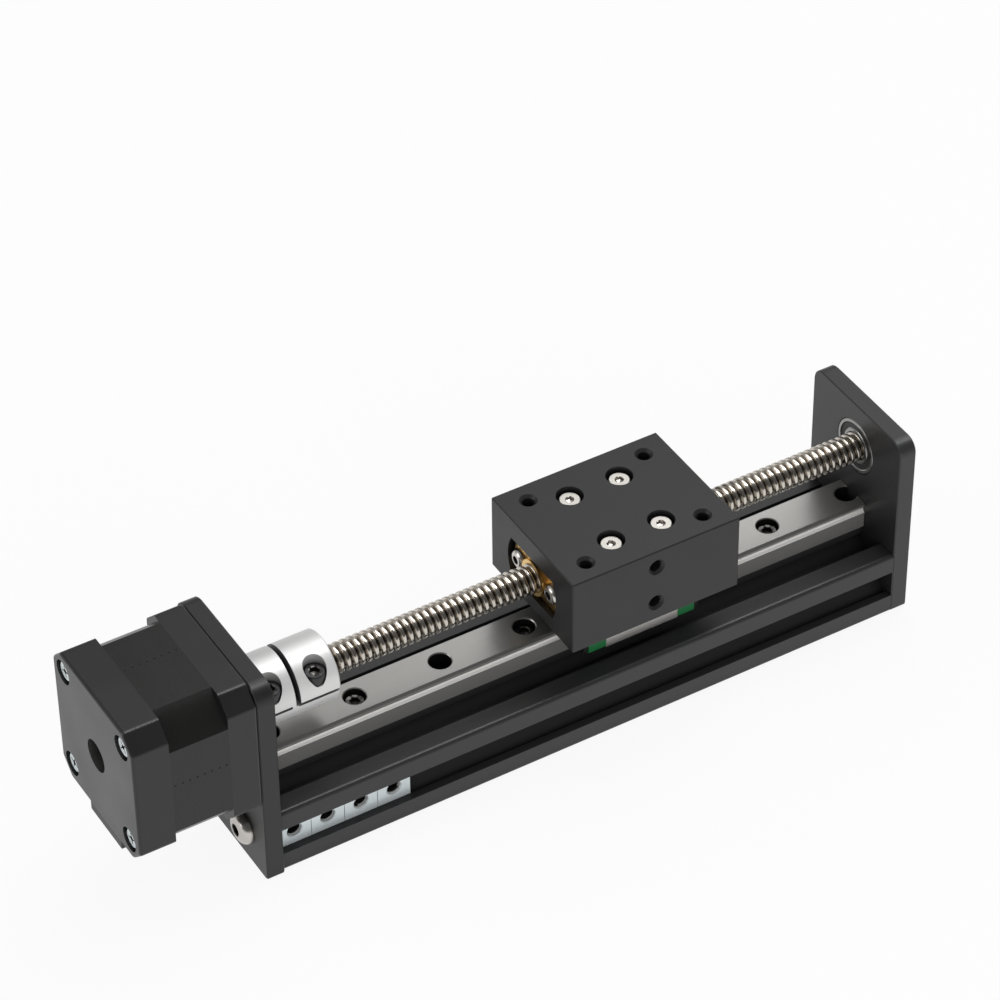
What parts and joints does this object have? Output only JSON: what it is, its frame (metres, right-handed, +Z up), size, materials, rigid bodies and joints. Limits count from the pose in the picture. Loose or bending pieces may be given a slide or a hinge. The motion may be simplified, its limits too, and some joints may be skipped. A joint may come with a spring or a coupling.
{
  "type": "linear slide stage",
  "caption": "Motor driven linear slide stage: a slotted black profile with a ball guide rail, a lead screw between two end plates and a small table that takes a tool or load.",
  "frame": {"origin": "Centre of the underside of the base profile, midway between the inner faces of the two end plates.", "axes": "+X along the travel from the motor to the far plate, +Y across the stage to its far side, +Z up from the underside of the profile."},
  "size_m": [0.2317, 0.0424, 0.0646],
  "materials": {
    "black_anodised": "fine satin black anodised",
    "silver_anodised": "satin clear anodised, turned",
    "ground_steel": "ground, bright",
    "screw_steel": "rolled, warm grey",
    "bearing_steel": "polished",
    "zinc_steel": "bright zinc plated",
    "stainless": "bright stainless",
    "black_screw": "black oxide, oiled",
    "brass_nut": "turned",
    "motor_cap": "fine textured black coating over cast metal",
    "motor_lamination": "blackened stacked laminations",
    "copper_enamel": "enamelled copper wire",
    "magnet": "sintered, dark",
    "connector_plastic": "moulded black",
    "pin_metal": "tinned",
    "green_plastic": "moulded green",
    "seal_rubber": "matt black"
  },
  "bodies": {
    "base": {"base_extrusion": "black_anodised", "guide_rail": "ground_steel", "rail_screws": "zinc_steel", "motor_plate": "black_anodised", "motor_plate_screws": "stainless", "end_plate": "black_anodised", "end_plate_screws": "stainless", "slot_nuts": "zinc_steel", "end_bearing_outer_ring": "bearing_steel", "end_bearing_shields": "seal_rubber", "motor_front_cap": "motor_cap", "motor_stator": "motor_lamination", "motor_windings": "copper_enamel", "motor_rear_cap": "motor_cap", "motor_case_screws": "zinc_steel", "motor_mount_screws": "black_screw", "motor_bearing_outer_rings": "bearing_steel", "motor_preload_washer": "bearing_steel", "motor_connector": "connector_plastic", "motor_connector_pins": "pin_metal"},
    "screw": {"motor_shaft": "screw_steel", "motor_rotor_stacks": "motor_lamination", "motor_rotor_magnet": "magnet", "motor_bearing_inner_rings": "bearing_steel", "motor_bearing_balls": "bearing_steel", "shaft_coupling": "silver_anodised", "coupling_clamp_screws": "black_screw", "lead_screw": "screw_steel", "end_bearing_inner_ring": "bearing_steel", "end_bearing_balls": "bearing_steel"},
    "carriage": {"carriage_table": "black_anodised", "block_screws": "stainless", "bearing_block": "ground_steel", "block_end_cap_motor_side": "green_plastic", "block_end_cap_far_side": "green_plastic", "block_seal_motor_side": "seal_rubber", "block_seal_far_side": "seal_rubber", "block_cap_screws": "zinc_steel", "guide_balls": "bearing_steel", "lead_nut": "brass_nut", "nut_screws": "stainless"}
  },
  "joints": [
    {"name": "carriage_slide", "type": "slide", "parent": "base", "child": "carriage", "axis": [1, 0, 0], "range_m": [-0.0606, 0.0494]},
    {"name": "screw_spin", "type": "hinge", "parent": "base", "child": "screw", "pos_m": [0, 0, 0.0435], "axis": [1, 0, 0], "range_deg": [-8892.01, 10908.01]}
  ],
  "couplings": [
    {"joint": "screw_spin", "follows": "carriage_slide", "rad_per_m": -3141.6}
  ]
}
